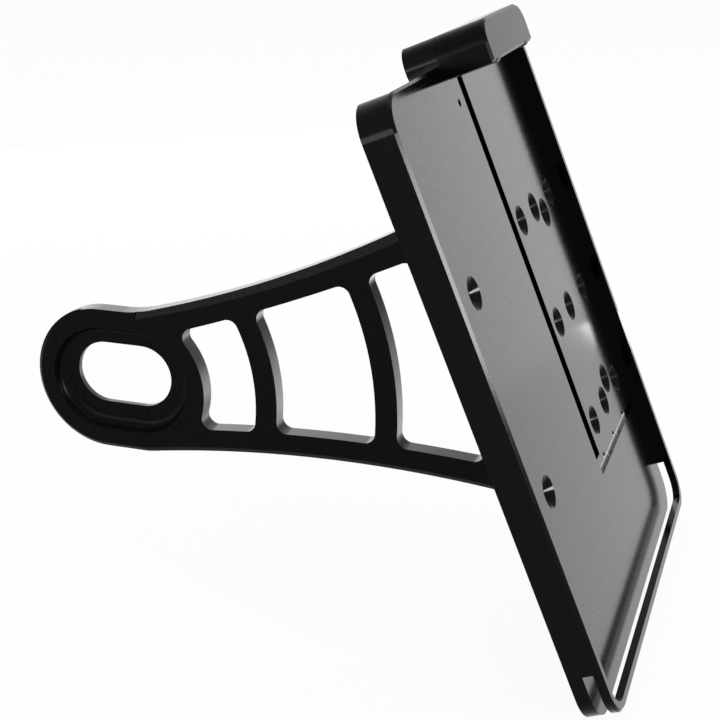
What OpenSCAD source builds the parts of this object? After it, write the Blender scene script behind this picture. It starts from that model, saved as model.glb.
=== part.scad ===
// Side mount number plate holder for a motorcycle.
// A milled arm hangs on the rear axle and carries a framed tray that a number plate slides into.
// A small light block sits on the tray's top wall and shines down over the plate.
// Origin: centre of the axle slot, on the arm's seat face. +X runs rearwards and +Z up.
// The arm's recessed side faces -Y, and the tray reaches from there towards +Y.

/* [Plate tray] */
// Outer width of the tray
tray_w = 188; // [180:1:210]
// Outer height of the tray, measured down its slope
tray_h = 225; // [215:1:245]
// Outer depth of the tray, from its back to its rim
tray_d = 12.2; // [11:0.1:16]
// Thickness of the tray's side walls
tray_wall = 3.5; // [3:0.1:5]
// Thickness of the tray's floor
tray_floor = 5.3; // [5:0.1:6.5]
// Outer corner radius of the tray
tray_corner_r = 12; // [8:0.5:16]
// Chamfer round the outer edge of the rim
rim_chamfer = 1; // [0.4:0.1:1.5]
// Lean of the tray away from upright, in degrees
tray_lean = 22.5; // [10:0.5:30]
// How far the tray's top back edge lies behind the axle slot
tray_offset = 96.5; // [80:0.5:120]
// How far the tray's top back edge lies above the axle slot
tray_rise = 108.2; // [100:0.5:120]
// How far the arm's outer face lies inside the tray's left side
arm_inset = 20; // [10:1:40]
// Width of the slot that the number plate slides in through
plate_slot = 3.8; // [2:0.1:5]
// How far the plate slot runs up both sides from the bottom
plate_slot_rise = 20; // [14:1:40]

/* [Holes in the tray] */
// Radius of the screw holes through the floor
hole_r = 3.2; // [2.2:0.1:3.5]
// Radius of their countersinks at the floor
countersink_r = 6.2; // [4.5:0.1:6.5]
// Half the spacing of the four main holes across the tray
main_hole_w = 59; // [50:1:65]
// Half the spacing of the four main holes down the tray
main_hole_l = 38; // [30:1:42]
// Distance of the first small-plate column from the tray's middle
column_first = 23.5; // [22:0.5:26]
// Distance of the second small-plate column from the tray's middle
column_second = 46.2; // [42:0.1:48]
// Distance of the third small-plate column from the tray's middle
column_third = 73.8; // [68:0.1:77]
// Spacing of the small-plate rows down the tray
row_step = 43.5; // [38:0.5:45]
// Width of the long wire slot
wire_slot_w = 6.6; // [5:0.1:7]
// Distance of the long wire slot's middle from the tray's middle
wire_slot_offset = 10.8; // [9:0.1:12]
// Where the long wire slot ends, down the tray from its top
wire_slot_end = 167; // [160:0.5:170]
// Height of the cross slot
cross_slot_h = 3.5; // [2.5:0.1:4]
// Where the cross slot's upper side lies, down the tray from its top
cross_slot_top = 170.6; // [168:0.1:180]
// Radius of the small tie holes
tie_hole_r = 1.3; // [1:0.1:1.5]

/* [Arm] */
// Thickness of the arm's plate
arm_t = 6.5; // [6:0.1:10]
// Width of the axle slot
axle_slot_h = 23.5; // [20:0.5:26]
// Length of the axle slot from end to end
axle_slot_len = 38; // [32:0.5:42]
// Radius of the eye round the axle slot
eye_r = 27.4; // [26:0.1:28]
// Distance between the centres of the eye's two ends
eye_len = 15.7; // [12:0.1:18]
// How far the middle of the eye's round end lies in front of the slot's middle
eye_front = 7.2; // [6:0.1:9]
// How far the eye's middle line lies below the slot's middle
eye_drop = 1.5; // [0:0.1:2]
// Radius of the recess round the axle slot, at the arm's face
recess_r = 19.8; // [18:0.1:21]
// How far the recess's middle lies below the slot's middle
recess_drop = 1.3; // [0:0.1:2]
// Depth of the recess
recess_depth = 4.4; // [3:0.1:5]
// Radius of the blend between the recess wall and its floor
recess_blend = 3.6; // [1:0.1:4]
// Radius of the long curve along the arm's top edge
top_edge_r = 445; // [420:5:500]
// Radius of the long curve along the arm's bottom edge
bottom_edge_r = 482; // [460:2:560]
// Width of the arm's edge bevel at the eye
bevel_eye = 2; // [0.5:0.1:2.5]
// Width of the bevel along the arm's bottom edge
bevel_low = 2.3; // [0.5:0.1:3]
// Width of the bevel at the top edge beside the neck
bevel_neck = 2.4; // [1.5:0.1:3]
// Width of the bevel at the top edge where the arm meets the tray
bevel_tray = 3.5; // [2.5:0.1:4.5]
// Radius of the top bevel's inner edge
bevel_edge_r = 450; // [430:5:500]
// Radius of the neck between the eye and the top edge
neck_r = 50; // [40:1:60]
// Width of the two ribs between the windows
rib_w = 8.1; // [6:0.1:10]
// Width of the arm's top rail at the eye
top_rail_w = 10; // [9:0.1:12]
// How much wider the top rail is at the tray
top_rail_gain = 1.2; // [0:0.1:2]
// Radius of the long curve along the windows' top sides
window_top_r = 739; // [700:1:780]
// Width of the arm's bottom rail at the eye
low_rail_w = 9.5; // [8:0.1:11]
// How much wider the bottom rail is at the tray
low_rail_gain = 0.5; // [0:0.1:1.5]
// Radius of the long curve along the windows' bottom sides
window_low_r = 559; // [520:1:600]
// Radius of the first window's side at the eye
window_near_r = 30.2; // [29:0.1:32]
// How far that side's centre lies behind the slot's middle
window_near_back = 3.8; // [2:0.1:6]
// How far that side's centre lies below the slot's middle
window_near_drop = 3; // [1:0.1:4]
// How far the ribs' centre lies in front of the slot's middle
rib_front = 13.8; // [12:0.1:16]
// How far the ribs' centre lies below the slot's middle
rib_drop = 3.9; // [2:0.1:5]
// Radius of the first rib's near side
rib_one_r = 68.1; // [66:0.1:71]
// Radius of the second rib's near side
rib_two_r = 113.2; // [109:0.1:115]
// Corner radius of the windows
window_corner_r = 4; // [2:0.5:4.5]
// Thickness of the foot behind the tray
foot_t = 4.2; // [4:0.1:4.6]
// Width of the foot
foot_w = 30; // [26:1:40]
// Width of the web in the corner between the foot and the arm's plate
foot_web = 1.2; // [0.8:0.1:1.3]

/* [Arm screws] */
// Radius of the arm screws
arm_screw_r = 2.5; // [2:0.5:2.5]
// Radius of their heads
arm_screw_head_r = 4.6; // [4.2:0.1:5]
// Length of the arm screws
arm_screw_len = 8; // [7.5:0.1:8.2]
// Distance of the arm screws from the tray's left side
arm_screw_w = 39; // [37:0.5:42]

/* [Light] */
// Width of the light at its bottom
light_w = 61; // [56:1:66]
// Height of the light
light_h = 15.2; // [14:0.1:18]
// Radius of the light's upper corners
light_corner_r = 8; // [5:0.5:9]
// How far the light stands out of the tray's rim
light_len = 19.3; // [18:0.1:24]
// How far the light's underside lies below the tray's top side
light_drop = 5.2; // [4.5:0.1:6]
// Chamfer round the light's end face
light_chamfer = 1; // [0.4:0.1:1.5]
// Width of the space inside the light
chamber_w = 38; // [34:1:40]
// Wall of the light round its space
light_wall = 2.5; // [2:0.1:3]
// Thickness of the lens
lens_t = 2; // [1.5:0.1:2.5]
// Ledge that the lens lies on
lens_ledge = 1.5; // [1:0.1:2]
// Thickness of the light's circuit board
board_t = 1.2; // [1:0.1:1.6]
// Height of the posts that carry the board
post_h = 1.5; // [1:0.1:2]
// Side of one light chip
chip_w = 3.5; // [3:0.1:5]
// Thickness of one light chip
chip_t = 1.4; // [1:0.1:2]
// Distance between the light chips
chip_step = 11; // [9:0.5:12]
// Radius of the wire hole through the boss
wire_hole_r = 2.2; // [1.5:0.1:2.5]
// Radius of the screws that hold the light
light_screw_r = 2; // [1.5:0.1:2]
// Radius of their heads
light_screw_head_r = 3.5; // [3:0.1:3.6]
// Height of their heads
light_screw_head_h = 4; // [3:0.1:4]
// Length of their shanks
light_screw_len = 16; // [14:0.5:18]
// Distance between the two light screws
light_screw_gap = 48; // [46:0.5:49]
// Radius of the board screws
board_screw_r = 1; // [0.8:0.1:1]
// Distance between the two board screws
board_screw_gap = 31; // [28:1:32]

/* [Hidden] */
$fn = 96;

// One overrun serves every cut
over = 1;
// Play round a screw in its plain hole, and round a part in its seat
screw_play = 0.25;
seat_play = 0.1;

// The tray's back top left corner in the arm's axes
tray_side = -(arm_t + arm_inset);
tray_mid = tray_w / 2;
tray_mid_l = tray_h / 2;

// A place on the tray in the arm's plane: n in front of the tray's back, l down the tray
function tray_x(n, l) = tray_offset + n * cos(tray_lean) + l * sin(tray_lean);
function tray_z(n, l) = tray_rise + n * sin(tray_lean) - l * cos(tray_lean);
function on_tray(n, l) = [tray_x(n, l), tray_z(n, l)];

// Centre of the circle of radius r through p and q, on the left of the line from p to q
function arc_centre(p, q, r) =
  let (half = (q - p) / 2, rise = sqrt(r * r - half * half))
  p + half + rise * [-half.y, half.x] / norm(half);

// Where a line from p along the unit vector u leaves the circle of radius r about c
function leaves(p, u, c, r) =
  let (d = p - c, along = d * u)
  p + (sqrt(along * along - d * d + r * r) - along) * u;

// Where the circles a, ra and b, rb meet, on the left of the line from a to b
function meet(a, ra, b, rb) =
  let (d = norm(b - a), u = (b - a) / d, t = (d * d + ra * ra - rb * rb) / (2 * d))
  a + t * u + sqrt(ra * ra - t * t) * [-u.y, u.x];

function unit(v) = v / norm(v);

// How far a blending round crosses the edges that it joins
hair = 0.03;

// The middles of the eye's two ends
eye_left = [-eye_front, -eye_drop];
eye_right = [eye_len - eye_front, -eye_drop];

// The arm's long edges run from the eye to the tray's back, between these shares of the tray's height
arm_top_share = 0.1906;
arm_bottom_share = 0.6449;
arm_top_l = tray_h * arm_top_share;
arm_bottom_l = tray_h * arm_bottom_share;
top_edge_rise = 0.2;
top_start = [eye_right.x, eye_right.y + eye_r + top_edge_rise];
top_end = on_tray(0, arm_top_l);
top_centre = arc_centre(top_start, top_end, top_edge_r);
join_angle = 6;
join_face_angle = 9.4;
bottom_start = eye_right + eye_r * [sin(join_angle), -cos(join_angle)];
bottom_end = on_tray(0, arm_bottom_l);
bottom_centre = arc_centre(bottom_end, bottom_start, bottom_edge_r);

// A point of the top edge moved d into the arm, and a point of the bottom edge
function into_arm(p, d) = p + d * unit(p - top_centre);
function up_arm(p, d) = p + d * unit(p - bottom_centre);

// The neck's round crosses the eye's top line and the top edge by a hair, so that it meets them cleanly
neck_reach = neck_r - hair;
neck_centre = leaves(eye_left + [0, eye_r + neck_reach], [1, 0], top_centre, top_edge_r - neck_reach);
neck_start = neck_centre - [0, neck_r];
neck_end = neck_centre + neck_r * unit(neck_centre - top_centre);

// The top bevel is shallow. It starts in the middle of the neck and grows to the tray.
top_bevel_share = 0.2;
low_bevel_share = 1;
bevel_start = (neck_start.x + neck_end.x) / 2;
bevel_centre = arc_centre(into_arm(top_start, bevel_neck), into_arm(top_end, bevel_tray), bevel_edge_r);

// The windows' top and bottom sides
rail_centre =
  arc_centre(into_arm(top_start, top_rail_w), into_arm(top_end, top_rail_w + top_rail_gain), window_top_r);
low_rail_centre =
  arc_centre(
    up_arm(bottom_end, low_rail_w + low_rail_gain), up_arm(bottom_start, low_rail_w), window_low_r
  );
rib_centre = [-rib_front, -rib_drop];
near_centre = [window_near_back, -window_near_drop];

// The window nearest the tray ends this far behind the tray
web_margin = 0.5;
window_back = foot_t + foot_web + web_margin;

// Long curves are drawn with this many sides
fine = 720;

// Draws in the arm's plane and gives the shape its thickness, from the seat face
module arm_plate(front, back) {
  translate([0, -back, 0]) rotate([90, 0, 0]) linear_extrude(front - back) children();
}

// Puts a shape drawn on the tray in its place: x runs forwards, y across and z up the tray
module tray_place() {
  translate([tray_offset, tray_side, tray_rise]) rotate([0, -tray_lean, 0]) children();
}

// Thickness through the tray of a shape drawn across it and up it
module through(n0, n1) {
  translate([n0, 0, 0]) rotate([90, 0, 90]) linear_extrude(n1 - n0) children();
}

// A plane shape with round corners, to the right of and below its corner
module round_rect(w, h, r) {
  translate([r, -h]) square([w - 2 * r, h]);
  translate([0, r - h]) square([w, h - 2 * r]);
  for (x = [r, w - r], y = [-r, r - h]) translate([x, y]) circle(r);
}

// A bore through the tray at w across and l down, from n0 forwards
module tray_bore(w, l, n0, length, r) {
  translate([n0, w, -l]) rotate([0, 90, 0]) cylinder(h = length, r = r);
}

// The tray's rim with its outer chamfer
module rim() {
  n0 = tray_d - rim_chamfer;
  inner = tray_w - rim_chamfer;
  low = tray_h - rim_chamfer;
  r = tray_corner_r;
  for (w = [r, tray_w - r], l = [r, tray_h - r])
    translate([n0, w, -l]) rotate([0, 90, 0]) cylinder(h = rim_chamfer, r1 = r, r2 = r - rim_chamfer);
  translate([0, 0, r - tray_h])
    linear_extrude(tray_h - 2 * r)
      polygon([[n0, 0], [tray_d, rim_chamfer], [tray_d, inner], [n0, tray_w]]);
  translate([0, tray_w - r, 0])
    rotate([90, 0, 0])
      linear_extrude(tray_w - 2 * r)
        polygon([[n0, 0], [tray_d, -rim_chamfer], [tray_d, -low], [n0, -tray_h]]);
}

// The light's outline across the tray, which the boss on the tray shares
module light_outline() {
  r = light_corner_r;
  side = light_w / 2;
  translate([tray_mid - side, -light_drop]) square([light_w, light_h - r]);
  translate([tray_mid - side + r, -light_drop]) square([light_w - 2 * r, light_h]);
  for (s = [-1, 1]) translate([tray_mid + s * (side - r), light_h - light_drop - r]) circle(r);
}

// Places of the screw holes, across and down from the tray's middle
columns = [column_first, column_second, column_third];
main_holes = [for (w = [-main_hole_w, main_hole_w], l = [-main_hole_l, main_hole_l]) [w, l]];
small_holes = [for (w = columns, l = [-row_step, 0, row_step]) [w, l]];

// A screw hole with its countersink in the floor
module floor_hole(w, l) {
  sink = countersink_r - hole_r;
  tray_bore(w, l, -over, tray_floor + 2 * over, hole_r);
  translate([tray_floor - sink, w, -l])
    rotate([0, 90, 0]) cylinder(h = sink + over, r1 = hole_r, r2 = countersink_r + over);
}

// Slots for the wires, and the holes that they are tied through
wire_slot_left = tray_mid + wire_slot_offset - wire_slot_w / 2;
slot_margin = 1.5;
tie_first = 19.5;
tie_step = 23.1;
tie_rise = 0.7;
lead_hole_r = 1.5;
lead_hole_l = 16.2;
module wire_cuts() {
  cut = tray_floor + over;
  cross_left = wire_slot_left + slot_margin;
  cross_w = tray_w - tray_wall - slot_margin - cross_left;
  top = light_drop + slot_margin;
  translate([-over, wire_slot_left, -wire_slot_end]) cube([cut + over, wire_slot_w, wire_slot_end - top]);
  translate([-over, cross_left, -cross_slot_top - cross_slot_h]) cube([cut + over, cross_w, cross_slot_h]);
  for (i = [0:2])
    tray_bore(tray_mid + tie_first + i * tie_step, cross_slot_top - tie_rise, -over, cut + over, tie_hole_r);
  tray_bore(tray_mid, lead_hole_l, -over, cut + over, lead_hole_r);
}

// The foot lies behind the tray, and the arm screws go through it into the tray's floor
foot_inset = 4;
foot_corner_r = 6;
foot_top = arm_top_l + foot_inset;
foot_len = arm_bottom_l - foot_inset - foot_top;
screw_row_shares = [0.11, 0.5, 0.89];
arm_screw_rows = [for (share = screw_row_shares) foot_top + share * foot_len];
tap_room = 0.4;
arm_tap = arm_screw_len - foot_t + tap_room;

// Places of the light screws
light_screw_l = -light_h / 2 + light_drop;
light_screw_w = [tray_mid - light_screw_gap / 2, tray_mid + light_screw_gap / 2];
wire_hole_l = 0;

module plate_tray() {
  color("#26272a")
  tray_place()
  difference() {
    union() {
      through(0, tray_d - rim_chamfer) round_rect(tray_w, tray_h, tray_corner_r);
      rim();
      through(0, tray_d) light_outline();
    }
    // The space that the plate lies in, less the strip that the boss fills
    difference() {
      through(tray_floor, tray_d + over)
        translate([tray_wall, -tray_wall])
          round_rect(tray_w - 2 * tray_wall, tray_h - 2 * tray_wall, tray_corner_r - tray_wall);
      through(0, tray_d) light_outline();
    }
    translate([tray_floor, -over, -tray_h - over])
      cube([plate_slot, tray_w + 2 * over, plate_slot_rise + over]);
    for (h = concat(main_holes, small_holes)) floor_hole(tray_mid + h.x, tray_mid_l + h.y);
    wire_cuts();
    for (l = arm_screw_rows) tray_bore(arm_screw_w, l, -over, arm_tap + over, arm_screw_r);
    for (w = light_screw_w) {
      tray_bore(w, light_screw_l, -over, tray_d + 2 * over, light_screw_r + screw_play);
      tray_bore(w, light_screw_l, -over, light_screw_head_h + over, light_screw_head_r + screw_play);
    }
    tray_bore(tray_mid, wire_hole_l, -over, tray_d + 2 * over, wire_hole_r);
  }
}

// A plane shape with two round ends of radius r, len apart
module oblong(len, r) {
  for (x = [-len / 2, len / 2]) translate([x, 0]) circle(r);
  square([len, 2 * r], center = true);
}

// A solid along the eye. Each point is a distance from the eye's middle line and a depth from the seat face.
module eye_solid(points) {
  for (x = [0, eye_len]) translate([x, 0, 0]) rotate([90, 0, 0]) rotate_extrude() polygon(points);
  for (turn = [0, 180])
    translate([eye_len / 2, 0, 0])
      rotate([0, turn, 0])
        translate([-eye_len / 2, 0, 0])
          rotate([90, 0, 90]) linear_extrude(eye_len) polygon([for (p = points) [-p.y, p.x]]);
}

// The arm's outline: the eye, the part from it to the tray's back, and the neck between them
join_x = eye_right.x + eye_r * sin(join_face_angle);
module arm_outline() {
  translate(eye_left + [eye_len / 2, 0]) oblong(eye_len, eye_r);
  difference() {
    union() {
      translate([join_x, bottom_start.y]) square([bottom_end.x - join_x, top_end.y - bottom_start.y]);
      square([bottom_end.x, top_end.y]);
    }
    translate(top_centre) circle(top_edge_r, $fn = fine);
    translate(bottom_centre) circle(bottom_edge_r, $fn = fine);
    translate([tray_offset, tray_rise]) rotate(tray_lean) translate([0, -tray_h]) square(tray_h);
  }
  difference() {
    polygon([neck_start, [neck_start.x, 0], [neck_end.x, 0], neck_end]);
    translate(neck_centre) circle(neck_r);
  }
}

// What the bevel takes off round the eye. It runs out on the eye's top left at a round.
runout_r = 32;
runout_front = 7;
module eye_bevel() {
  face = arm_t - bevel_eye;
  deep = face - over;
  tall = arm_t + over;
  wide = eye_r + over;
  translate([eye_left.x, 0, eye_left.y])
    difference() {
      translate([-wide, -tall, -wide]) cube([wide + join_x - eye_left.x, tall - face, 2 * wide]);
      eye_solid([[0, deep], [wide, deep], [eye_r - bevel_eye - over, tall], [0, tall]]);
      translate([runout_r - runout_front, -deep, eye_r]) rotate([90, 0, 0]) cylinder(h = tall, r = runout_r);
    }
}

// What a bevel of this width takes off along a long edge behind from_x. Its depth is a share of its width.
module edge_bevel(centre, r, width, share, from_x) {
  tall = width * share + 2 * over;
  reach = over / share;
  intersection() {
    translate([centre.x, -arm_t - over, centre.y])
      rotate([-90, 0, 0]) cylinder(h = tall, r1 = r + reach, r2 = r - width - reach, $fn = fine);
    translate([from_x, -arm_t - 2 * over, bottom_start.y - eye_r])
      cube([bottom_end.x + eye_r - from_x, tall + 2 * over, top_end.y - bottom_start.y + 2 * eye_r]);
  }
}

// Takes the sharp corner off a window, round the centre c. Its edges lie towards the unit vectors t1 and t2.
corner_reach_share = 1.5;
module corner_cut(c, t1, t2) {
  reach = window_corner_r * corner_reach_share;
  difference() {
    polygon([c, c + reach * t1, c + reach * (t1 + t2) / (1 + t1 * t2), c + reach * t2]);
    translate(c) circle(window_corner_r + hair);
  }
}

// The space between the arm's two rails, past the round of radius r about the centre c
module between_rails(c, r) {
  difference() {
    translate([0, bottom_start.y]) square([bottom_end.x, top_end.y - bottom_start.y]);
    translate(c) circle(r, $fn = fine);
    translate(rail_centre) circle(window_top_r, $fn = fine);
    translate(low_rail_centre) circle(window_low_r, $fn = fine);
  }
}

// Rounds a window's two corners on its side that is a round of radius r about the centre c
module round_side_corners(c, r, out) {
  round_r = window_corner_r;
  at = r - out * round_r;
  high = meet(rail_centre, window_top_r + round_r, c, at);
  low = meet(c, at, low_rail_centre, window_low_r + round_r);
  corner_cut(high, out * unit(high - c), unit(rail_centre - high));
  corner_cut(low, out * unit(low - c), unit(low_rail_centre - low));
}

// A window from the round near_r about the centre c to the round far_r about the ribs' centre
module rib_window(c, near_r, far_r) {
  difference() {
    intersection() {
      between_rails(c, near_r);
      translate(rib_centre) circle(far_r, $fn = fine);
    }
    round_side_corners(c, near_r, -1);
    round_side_corners(rib_centre, far_r, 1);
  }
}

// The window between the second rib and the foot
module foot_window(near_r) {
  c = window_corner_r;
  down = [sin(tray_lean), -cos(tray_lean)];
  back = [cos(tray_lean), sin(tray_lean)];
  high = leaves(on_tray(-window_back - c, 0), down, rail_centre, window_top_r + c);
  low = leaves(on_tray(-window_back - c, tray_h), -down, low_rail_centre, window_low_r + c);
  difference() {
    between_rails(rib_centre, near_r);
    translate([tray_offset, tray_rise])
      rotate(tray_lean) translate([-window_back, -tray_h]) square(tray_h);
    round_side_corners(rib_centre, near_r, -1);
    corner_cut(high, back, unit(rail_centre - high));
    corner_cut(low, back, unit(low_rail_centre - low));
  }
}

// The recess round the axle slot: a straight wall that blends into a flat floor
recess_len = axle_slot_len - axle_slot_h;
module recess_profile() {
  b = recess_blend;
  floor_y = arm_t - recess_depth;
  translate([0, floor_y + b]) square([recess_r, recess_depth - b + over]);
  translate([0, floor_y]) square([recess_r - b, b + over]);
  intersection() {
    translate([recess_r - b, floor_y + b]) circle(b);
    translate([recess_r - b, floor_y]) square(b);
  }
}
module recess() {
  translate([0, 0, -recess_drop]) {
    for (x = [-recess_len / 2, recess_len / 2])
      translate([x, 0, 0]) rotate([90, 0, 0]) rotate_extrude() recess_profile();
    for (turn = [0, 180])
      rotate([0, turn, 0])
        translate([recess_len / 2, 0, 0])
          rotate([90, 0, -90]) linear_extrude(recess_len) rotate(-90) recess_profile();
  }
}

module axle_slot() {
  translate([0, over, 0])
    rotate([90, 0, 0])
      linear_extrude(arm_t + 2 * over)
        oblong(recess_len, axle_slot_h / 2);
}

// The foot's hole behind one of the tray's main holes is wider than that hole
foot_hole_margin = 1;
foot_hole_r = hole_r + foot_hole_margin;
module foot() {
  through(-foot_t, 0) translate([arm_inset, -foot_top]) round_rect(foot_w, foot_len, foot_corner_r);
  web = foot_web + 2 * over;
  translate([over - foot_t, arm_inset + arm_t - over, foot_corner_r - foot_top - foot_len])
    linear_extrude(foot_len - 2 * foot_corner_r) polygon([[0, 0], [-web, 0], [0, web]]);
}

module side_arm() {
  sink = arm_screw_head_r - arm_screw_r - screw_play;
  color("#1b1c1e")
  difference() {
    union() {
      difference() {
        arm_plate(arm_t, 0) arm_outline();
        eye_bevel();
        edge_bevel(bevel_centre, bevel_edge_r, bevel_tray, top_bevel_share, bevel_start);
        edge_bevel(bottom_centre, bottom_edge_r + bevel_low, bevel_low, low_bevel_share, eye_left.x);
        arm_plate(arm_t + over, -over) {
          rib_window(near_centre, window_near_r, rib_one_r);
          rib_window(rib_centre, rib_one_r + rib_w, rib_two_r);
          foot_window(rib_two_r + rib_w);
        }
      }
      tray_place() foot();
    }
    recess();
    axle_slot();
    tray_place()
      for (l = arm_screw_rows) {
        tray_bore(arm_screw_w, l, -foot_t - over, foot_t + 2 * over, arm_screw_r + screw_play);
        translate([-foot_t, arm_screw_w, -l])
          rotate([0, 90, 0])
            cylinder(h = sink, r1 = arm_screw_head_r, r2 = arm_screw_r + screw_play);
      }
    // Keeps the tray's hole in front of the foot open
    tray_place()
      tray_bore(tray_mid - main_hole_w, tray_mid_l - main_hole_l, -foot_t - over, foot_t + 2 * over, foot_hole_r);
  }
}

// Hexagon sockets in the screw heads
socket_share = 0.6;
module socket(w, l, n, r, depth) {
  translate([n - over, w, -l]) rotate([0, 90, 0]) cylinder(h = depth + over, r = r, $fn = 6);
}

module arm_screws() {
  sink = arm_screw_head_r - arm_screw_r;
  color("#3a3b3d")
  tray_place()
    for (l = arm_screw_rows)
      difference() {
        union() {
          tray_bore(arm_screw_w, l, -foot_t, arm_screw_len, arm_screw_r);
          translate([-foot_t, arm_screw_w, -l])
            rotate([0, 90, 0]) cylinder(h = sink, r1 = arm_screw_head_r, r2 = arm_screw_r);
        }
        socket(arm_screw_w, l, -foot_t, arm_screw_r * socket_share, sink * socket_share);
      }
}

// The light's space runs from its back wall to its end wall
end_n = tray_d + light_len;
chamber_n = tray_d + light_wall;
chamber_len = light_len - 2 * light_wall;
chamber_top = light_h - light_drop - light_wall;
chamber_corner_r = 3;
module chamber_outline(margin) {
  translate([chamber_n - margin, tray_mid + chamber_w / 2 + margin])
    round_rect(chamber_len + 2 * margin, chamber_w + 2 * margin, chamber_corner_r);
}

// The light's end, with its edge taken off. It laps over the light's straight part.
module light_end() {
  n0 = end_n - light_chamfer;
  lap_n = n0 - over;
  c = light_chamfer;
  r = light_corner_r;
  side = light_w / 2;
  top = light_h - light_drop;
  intersection() {
    translate([0, 0, -light_drop])
      linear_extrude(light_h - r)
        polygon([
          [lap_n, tray_mid - side], [n0, tray_mid - side], [end_n, tray_mid - side + c],
          [end_n, tray_mid + side - c], [n0, tray_mid + side], [lap_n, tray_mid + side]
        ]);
    translate([0, tray_mid + side, 0])
      rotate([90, 0, 0])
        linear_extrude(light_w)
          polygon([
            [lap_n, -light_drop], [n0, -light_drop], [end_n, c - light_drop], [end_n, top], [lap_n, top]
          ]);
  }
  translate([0, tray_mid + side - r, 0])
    rotate([90, 0, 0])
      linear_extrude(light_w - 2 * r)
        polygon([
          [lap_n, -light_drop], [n0, -light_drop], [end_n, c - light_drop],
          [end_n, top - c], [n0, top], [lap_n, top]
        ]);
  for (s = [-1, 1])
    translate([n0, tray_mid + s * (side - r), top - r])
      rotate([0, 90, 0]) cylinder(h = c, r1 = r, r2 = r - c);
}

// Board, posts and screws inside the light
post_r = 2.6;
board_gap = 0.4;
board_tap = 1.6;
board_z = chamber_top - post_h - board_t;
board_screws_w = [tray_mid - board_screw_gap / 2, tray_mid + board_screw_gap / 2];
board_mid_n = chamber_n + chamber_len / 2;

module light_housing() {
  light_tap = light_screw_len - tray_d + light_screw_head_h + tap_room;
  color("#2b2c2f")
  tray_place()
  difference() {
    union() {
      difference() {
        union() {
          through(tray_d, end_n - light_chamfer) light_outline();
          light_end();
        }
        translate([0, 0, -light_drop - over])
          linear_extrude(light_h - light_wall + over) chamber_outline(0);
        translate([0, 0, -light_drop - over]) linear_extrude(lens_t + over) chamber_outline(lens_ledge);
      }
      for (w = board_screws_w)
        translate([board_mid_n, w, chamber_top - post_h]) cylinder(h = post_h + over, r = post_r);
    }
    for (w = board_screws_w)
      translate([board_mid_n, w, chamber_top - post_h - over])
        cylinder(h = over + post_h + board_tap, r = board_screw_r);
    for (w = light_screw_w) tray_bore(w, light_screw_l, tray_d - over, light_tap + over, light_screw_r);
    tray_bore(tray_mid, wire_hole_l, tray_d - over, light_wall + 2 * over, wire_hole_r);
  }
}

module light_screws() {
  color("#3a3b3d")
  tray_place()
    for (w = light_screw_w)
      difference() {
        union() {
          tray_bore(w, light_screw_l, 0, light_screw_head_h, light_screw_head_r);
          tray_bore(w, light_screw_l, 0, light_screw_head_h + light_screw_len, light_screw_r);
        }
        socket(w, light_screw_l, 0, light_screw_r, light_screw_head_h * socket_share);
      }
}

module light_lens() {
  color("#dfe6ea")
  tray_place()
    translate([0, 0, -light_drop]) linear_extrude(lens_t) chamber_outline(lens_ledge - seat_play);
}

module light_board() {
  color("#1f5a3a")
  tray_place()
  difference() {
    translate([0, 0, board_z]) linear_extrude(board_t) chamber_outline(-board_gap);
    for (w = board_screws_w)
      translate([board_mid_n, w, board_z - over]) cylinder(h = board_t + 2 * over, r = board_screw_r + seat_play);
  }
}

module light_chips() {
  color("#f2e9b8")
  tray_place()
    for (i = [-1:1])
      translate([board_mid_n - chip_w / 2, tray_mid + i * chip_step - chip_w / 2, board_z - chip_t])
        cube([chip_w, chip_w, chip_t]);
}

board_head_r = 1.9;
board_head_h = 1.3;
module board_screws() {
  color("#c9ccd0")
  tray_place()
    for (w = board_screws_w)
      translate([board_mid_n, w, board_z]) {
        cylinder(h = board_t + post_h + board_tap - tap_room, r = board_screw_r);
        difference() {
          translate([0, 0, -board_head_h]) cylinder(h = board_head_h, r = board_head_r);
          translate([0, 0, -board_head_h - over])
            cylinder(h = over + board_head_h * socket_share, r = board_screw_r, $fn = 6);
        }
      }
}

plate_tray();
side_arm();
arm_screws();
light_housing();
light_screws();
light_lens();
light_board();
light_chips();
board_screws();
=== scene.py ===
import math

import bmesh
import bpy
from mathutils import Matrix, Vector


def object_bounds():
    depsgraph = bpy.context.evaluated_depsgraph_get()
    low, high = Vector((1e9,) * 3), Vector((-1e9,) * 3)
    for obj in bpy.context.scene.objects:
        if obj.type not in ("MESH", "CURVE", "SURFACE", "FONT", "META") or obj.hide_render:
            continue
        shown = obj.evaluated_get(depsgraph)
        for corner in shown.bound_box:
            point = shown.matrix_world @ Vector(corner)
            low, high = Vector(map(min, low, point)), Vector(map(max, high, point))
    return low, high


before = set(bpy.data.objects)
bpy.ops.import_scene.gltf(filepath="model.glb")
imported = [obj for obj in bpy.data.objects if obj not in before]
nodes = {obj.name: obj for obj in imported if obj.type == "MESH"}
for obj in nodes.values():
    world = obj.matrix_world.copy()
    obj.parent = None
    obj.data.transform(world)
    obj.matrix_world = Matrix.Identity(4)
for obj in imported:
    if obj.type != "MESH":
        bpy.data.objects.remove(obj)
cad_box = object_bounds()
scene = bpy.context.scene
scene.view_settings.view_transform = "Standard"


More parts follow.
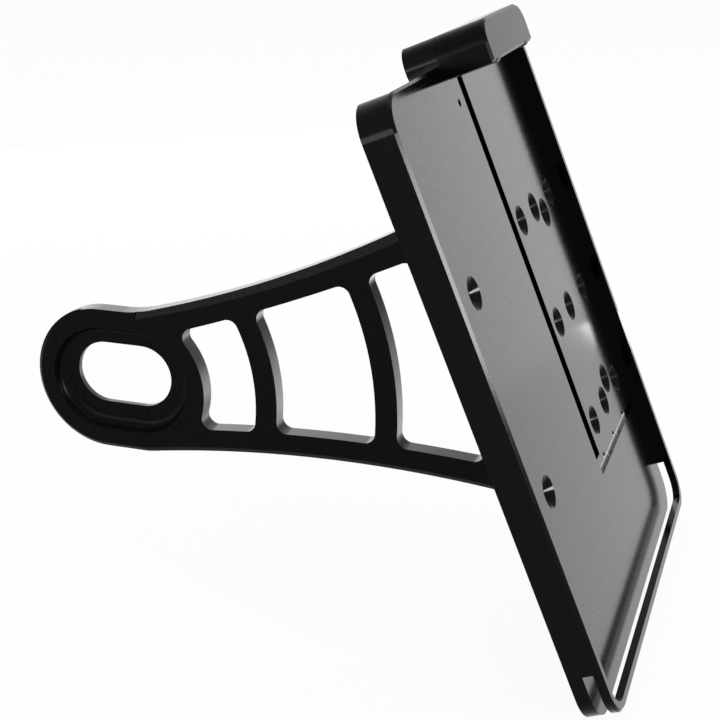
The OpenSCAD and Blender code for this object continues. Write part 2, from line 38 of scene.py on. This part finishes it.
# ---- Camera ----
# The holder was photographed from its front left and a little above, with a long lens.
# The place and the turn are in the holder's own frame, in metres.
camera = bpy.data.objects.new("camera", bpy.data.cameras.new("camera"))
scene.collection.objects.link(camera)
scene.camera = camera
camera.data.lens = 70.75
camera.data.sensor_width = 36
camera.data.clip_start = 0.05
camera.data.clip_end = 50
camera_place = (0.2399, -0.4406, 0.1867)
right = Vector((0.9476, 0.3194, 0.0010))
up = Vector((-0.1112, 0.3270, 0.9385))
back = right.cross(up).normalized()
up = back.cross(right).normalized()
right.normalize()
turn = Matrix((right, up, back)).transposed().to_4x4()
camera.matrix_world = Matrix.Translation(camera_place) @ turn


# ---- Number plate tray ----
# A shallow tray milled from one aluminium plate, bead blasted and anodised black.
# The number plate slides in from below and lies on its floor, and screws hold it.
def linear(code):
    """An sRGB hex colour as the linear colour that a shader takes."""
    parts = [int(code[i : i + 2], 16) / 255 for i in (1, 3, 5)]
    return [p / 12.92 if p <= 0.04045 else ((p + 0.055) / 1.055) ** 2.4 for p in parts] + [1.0]


def add(material, kind, settings=None, links=None):
    """Adds one node with its settings and its links from other nodes' outputs."""
    tree = material.node_tree
    made = tree.nodes.new(kind)
    for name, value in (settings or {}).items():
        if isinstance(name, str) and hasattr(made, name):
            setattr(made, name, value)
        else:
            made.inputs[name].default_value = value
    for name, source in (links or {}).items():
        tree.links.new(source, made.inputs[name])
    return made


def new_material(name):
    """An empty node material."""
    material = bpy.data.materials.new(name)
    material.use_nodes = True
    material.node_tree.nodes.clear()
    return material


def tones(material, grain, places):
    """The colour that a grain or a share gives, from places on it and their sRGB colours."""
    ramp = add(material, "ShaderNodeValToRGB", links={"Fac": grain})
    elements = ramp.color_ramp.elements
    while len(elements) < len(places):
        elements.new(0.5)
    for element, (place, code) in zip(elements, places):
        element.position = place
        element.color = linear(code)
    return ramp.outputs["Color"]


def show(material, shader):
    """Makes a shader the material's surface."""
    add(material, "ShaderNodeOutputMaterial", links={"Surface": shader.outputs[0]})


def give(node, material):
    """Puts a material on a CAD node."""
    nodes[node].data.materials.clear()
    nodes[node].data.materials.append(material)


def anodised(
    name, grain_mm, dye, roughness, relief_mm,
    painted_sheen_way=None, painted_sheen_turn=None, painted_sheen_tones=None, painted_shade_tint=None,
):
    """Black anodised aluminium, from the dye's dark and light tone and the grain's size and relief.

    Faces take the second pair of tones, a painted sheen, as they turn from the first given share
    of the given way to the second. Where greys are given on that share, faces mirror less at low
    angles: painted shade."""
    material = new_material(name)
    place = add(material, "ShaderNodeTexCoord").outputs["Object"]
    grain = add(
        material, "ShaderNodeTexNoise",
        {"Scale": 1000 / grain_mm, "Detail": 3.0, "Roughness": 0.6}, {"Vector": place},
    ).outputs["Fac"]
    colour = tones(material, grain, [(0.35, dye[0]), (0.65, dye[1])])
    # Painted sheen: faces turned along the given way take paler tones, standing in for the brighter
    # reflections they catch.
    if painted_sheen_way:
        painted_sheen_colour = tones(material, grain, [(0.35, painted_sheen_tones[0]), (0.65, painted_sheen_tones[1])])
        faces = add(
            material, "ShaderNodeVectorMath", {"operation": "DOT_PRODUCT", 1: painted_sheen_way},
            {0: add(material, "ShaderNodeNewGeometry").outputs["True Normal"]},
        )
        square = add(
            material, "ShaderNodeMath", {"operation": "ABSOLUTE"}, {0: faces.outputs["Value"]}
        )
        share = add(
            material, "ShaderNodeMapRange", {"From Min": painted_sheen_turn[0], "From Max": painted_sheen_turn[1]},
            {"Value": square.outputs[0]},
        )
        colour = add(
            material, "ShaderNodeMix", {"data_type": "RGBA"},
            {0: share.outputs["Result"], 6: colour, 7: painted_sheen_colour},
        ).outputs[2]
    shine = add(
        material, "ShaderNodeMapRange",
        {"To Min": roughness[0], "To Max": roughness[1]}, {"Value": grain},
    )
    bump = add(
        material, "ShaderNodeBump",
        {"Strength": 0.5, "Distance": relief_mm / 1000}, {"Height": grain},
    )
    shader = add(
        material, "ShaderNodeBsdfPrincipled", {"Metallic": 1.0},
        {
            "Base Color": colour, "Roughness": shine.outputs["Result"],
            "Normal": bump.outputs["Normal"],
        },
    )
    # Painted shade: a grey specular tint dims the low-angle reflections of the faces it covers.
    if painted_shade_tint:
        painted_edge_shade = tones(material, square.outputs[0], painted_shade_tint)
        material.node_tree.links.new(painted_edge_shade, shader.inputs["Specular Tint"])
    show(material, shader)
    return material


# The blast leaves a fine even grain that spreads reflections into a soft satin sheen, and the
# dye makes the metal near black where it is seen square on. The faces turned the way of the floor
# and the back take a paler tone, a painted sheen for the brighter reflection they catch, beside
# the rim and the countersinks.
blasted = anodised(
    "bead_blasted_black_anodised_aluminium", grain_mm=1.0, dye=("#151515", "#181818"),
    roughness=(0.12, 0.17), relief_mm=0.004,
    painted_sheen_way=(0.92388, 0.0, 0.382683), painted_sheen_turn=(0.9, 0.98), painted_sheen_tones=("#4d4d4d", "#5f5f5f"),
)
give("plate_tray", blasted)


# ---- Side arm ----
# Cut from thick aluminium plate and anodised black, with a milled recess round the axle slot.
# Its faces are finely sanded before the dye. Its walls take a paler tone, a painted sheen for the
# light they catch, and the steep bevels and fillets a grey edge tint, painted shade that keeps
# them dark when seen at a low angle.
sanded = anodised(
    "sanded_black_anodised_aluminium", grain_mm=0.6, dye=("#0e0e0e", "#151515"),
    roughness=(0.28, 0.36), relief_mm=0.002,
    painted_sheen_way=(0.0, 1.0, 0.0), painted_sheen_turn=(0.3, 0.1), painted_sheen_tones=("#454545", "#4b4b4b"),
    painted_shade_tint=[(0.5, "#ffffff"), (0.62, "#c0c0c0"), (0.8, "#c0c0c0"), (0.92, "#ffffff")],
)
give("side_arm", sanded)


# ---- Arm screws ----
# Countersunk steel screws with a black oxide finish, turned in from behind the foot.
# The oxide is a thin dark skin with a slight brown cast and an oily shine.
black_steel = new_material("black_oxide_steel")
place = add(black_steel, "ShaderNodeTexCoord").outputs["Object"]
OXIDE_MM = 0.8
cloud = add(
    black_steel, "ShaderNodeTexNoise", {"Scale": 1000 / OXIDE_MM, "Detail": 4.0}, {"Vector": place}
).outputs["Fac"]
shine = add(black_steel, "ShaderNodeMapRange", {"To Min": 0.25, "To Max": 0.38}, {"Value": cloud})
shader = add(
    black_steel, "ShaderNodeBsdfPrincipled", {"Metallic": 1.0},
    {
        "Base Color": tones(black_steel, cloud, [(0.35, "#2b2a2a"), (0.65, "#3b3937")]),
        "Roughness": shine.outputs["Result"],
    },
)
show(black_steel, shader)
give("arm_screws", black_steel)


# ---- Light housing ----
# A block of the same aluminium on the tray's boss, milled hollow from below for the lens.
# It is sanded, with the dye darker than on the tray, so it looks deep black from the side.
fine_sanded = anodised(
    "fine_sanded_black_anodised_aluminium", grain_mm=0.5, dye=("#0f1010", "#131414"),
    roughness=(0.26, 0.32), relief_mm=0.002,
)
give("light_housing", fine_sanded)


# ---- Light screws ----
# Two socket head screws in counterbores in the boss's back, of the same blackened steel.
# They pull the light housing against the boss.
give("light_screws", black_steel)


# ---- Lens ----
# A clear polycarbonate window pressed into a ledge in the housing's underside.
# It is moulded smooth, with a slight waviness from the mould.
clear_plastic = new_material("moulded_clear_polycarbonate")
place = add(clear_plastic, "ShaderNodeTexCoord").outputs["Object"]
WAVE_MM = 6.0
WAVE_DEPTH_MM = 0.2
wave = add(
    clear_plastic, "ShaderNodeTexNoise", {"Scale": 1000 / WAVE_MM, "Detail": 1.0}, {"Vector": place}
)
bump = add(
    clear_plastic, "ShaderNodeBump", {"Strength": 0.2, "Distance": WAVE_DEPTH_MM / 1000},
    {"Height": wave.outputs["Fac"]},
)
shader = add(
    clear_plastic, "ShaderNodeBsdfPrincipled",
    {
        "Base Color": linear("#f4f8fa"), "Roughness": 0.04,
        "IOR": 1.58, "Transmission Weight": 1.0,
    },
    {"Normal": bump.outputs["Normal"]},
)
show(clear_plastic, shader)
give("light_lens", clear_plastic)


# ---- Circuit board ----
# A glass fibre board with green solder mask, on two posts under the housing's roof.
# The weave of the glass just shows through the mask.
solder_mask = new_material("green_solder_mask")
place = add(solder_mask, "ShaderNodeTexCoord").outputs["Object"]
WEAVE_MM = 0.5
weave = add(solder_mask, "ShaderNodeTexChecker", {"Scale": 1000 / WEAVE_MM}, {"Vector": place})
shader = add(
    solder_mask, "ShaderNodeBsdfPrincipled", {"Roughness": 0.32, "IOR": 1.5},
    {"Base Color": tones(solder_mask, weave.outputs["Fac"], [(0.0, "#1d5636"), (1.0, "#21603c")])},
)
show(solder_mask, shader)
give("light_board", solder_mask)


# ---- Light chips ----
# Three small white packages filled with a yellow phosphor gel, soldered to the board.
# The gel is slightly uneven and glossy.
phosphor = new_material("yellow_phosphor_gel")
place = add(phosphor, "ShaderNodeTexCoord").outputs["Object"]
SPECK_MM = 0.3
speck = add(
    phosphor, "ShaderNodeTexNoise", {"Scale": 1000 / SPECK_MM, "Detail": 2.0}, {"Vector": place}
)
shader = add(
    phosphor, "ShaderNodeBsdfPrincipled", {"Roughness": 0.25, "IOR": 1.41},
    {"Base Color": tones(phosphor, speck.outputs["Fac"], [(0.35, "#e6d480"), (0.65, "#f4e8b0")])},
)
show(phosphor, shader)
give("light_chips", phosphor)


# ---- Board screws ----
# Two small pan head screws of zinc plated steel that hold the board to its posts.
# The plating is bright, with a slight haze.
zinc = new_material("zinc_plated_steel")
place = add(zinc, "ShaderNodeTexCoord").outputs["Object"]
HAZE_MM = 0.4
haze = add(zinc, "ShaderNodeTexNoise", {"Scale": 1000 / HAZE_MM, "Detail": 2.0}, {"Vector": place})
shader = add(
    zinc, "ShaderNodeBsdfPrincipled", {"Metallic": 1.0, "Roughness": 0.3},
    {"Base Color": tones(zinc, haze.outputs["Fac"], [(0.3, "#b9bcc2"), (0.7, "#c9ccd1")])},
)
show(zinc, shader)
give("board_screws", zinc)


# ---- Studio ----
# A white paper floor in a white room, with soft boxes above, behind, in front and to the right.
# The narrow bright box on the right draws the light line along the tray's near rim, and the
# small card behind lights the walls inside the arm's windows.
def seen_rays(material):
    """One for the rays that show the background: camera, glossy and transmission."""
    ray = add(material, "ShaderNodeLightPath")
    seen = add(
        material, "ShaderNodeMath", {"operation": "MAXIMUM"},
        {0: ray.outputs["Is Camera Ray"], 1: ray.outputs["Is Glossy Ray"]},
    )
    return add(
        material, "ShaderNodeMath", {"operation": "MAXIMUM"},
        {0: seen.outputs[0], 1: ray.outputs["Is Transmission Ray"]},
    ).outputs[0]


FLOOR_GAP = 0.001
FLOOR_HALF_WIDTH = 6.0
PAPER_GLOW_SHARE = 0.93
ROOM_LIGHT = 0.6
low, high = cad_box
middle = (low + high) / 2
sheet = bmesh.new()
bmesh.ops.create_grid(sheet, x_segments=1, y_segments=1, size=FLOOR_HALF_WIDTH)
floor_mesh = bpy.data.meshes.new("studio_floor")
sheet.to_mesh(floor_mesh)
sheet.free()
floor_mesh.transform(Matrix.Translation((0, 0, low.z - FLOOR_GAP)))
floor = bpy.data.objects.new("studio_floor", floor_mesh)
scene.collection.objects.link(floor)
paper = new_material("white_studio_paper")
matt = add(paper, "ShaderNodeBsdfDiffuse", {"Color": linear("#f6f6f6")})
glow = add(paper, "ShaderNodeEmission", {"Color": linear("#ffffff"), "Strength": 1.0})
share = add(
    paper, "ShaderNodeMath", {"operation": "MULTIPLY", 1: PAPER_GLOW_SHARE}, {0: seen_rays(paper)}
)
mix = add(
    paper, "ShaderNodeMixShader",
    links={0: share.outputs[0], 1: matt.outputs[0], 2: glow.outputs[0]},
)
show(paper, mix)
floor.data.materials.append(paper)

world = bpy.data.worlds.new("studio")
scene.world = world
world.use_nodes = True
background = world.node_tree.nodes["Background"]
background.inputs["Color"].default_value = linear("#ffffff")
strength = add(
    world, "ShaderNodeMapRange", {"To Min": ROOM_LIGHT, "To Max": 1.0}, {"Value": seen_rays(world)}
)
world.node_tree.links.new(strength.outputs["Result"], background.inputs["Strength"])


def soft_box(name, way, distance, size, brightness):
    """A soft box of this radiance, out along way from the holder's middle and turned to it."""
    data = bpy.data.lights.new(name, "AREA")
    data.shape = "RECTANGLE"
    data.size, data.size_y = size
    data.energy = brightness * math.pi * size[0] * size[1]
    lamp = bpy.data.objects.new(name, data)
    way = Vector(way).normalized()
    lamp.location = middle + way * distance
    lamp.rotation_euler = (-way).to_track_quat("-Z", "Y").to_euler()
    lamp.visible_camera = False
    scene.collection.objects.link(lamp)


soft_box("soft_box_above", (0.0, 0.1, 1.0), 2.2, (2.0, 2.0), 0.9)
soft_box("soft_box_behind", (0.354, 0.93, 0.12), 0.9, (1.1, 0.46), 0.2)
soft_box("soft_box_behind_left", (-0.62, 0.78, 0.12), 0.9, (0.8, 0.46), 1.3)
soft_box("soft_box_right", (0.92, -0.34, 0.22), 2.2, (0.22, 0.45), 80.0)
soft_box("soft_box_front", (-0.5, -0.87, 0.04), 2.2, (1.4, 0.32), 6.0)
soft_box("small_card_behind", (0.0456, 0.1325, -0.07), 0.157, (0.1, 0.09), 2.0)
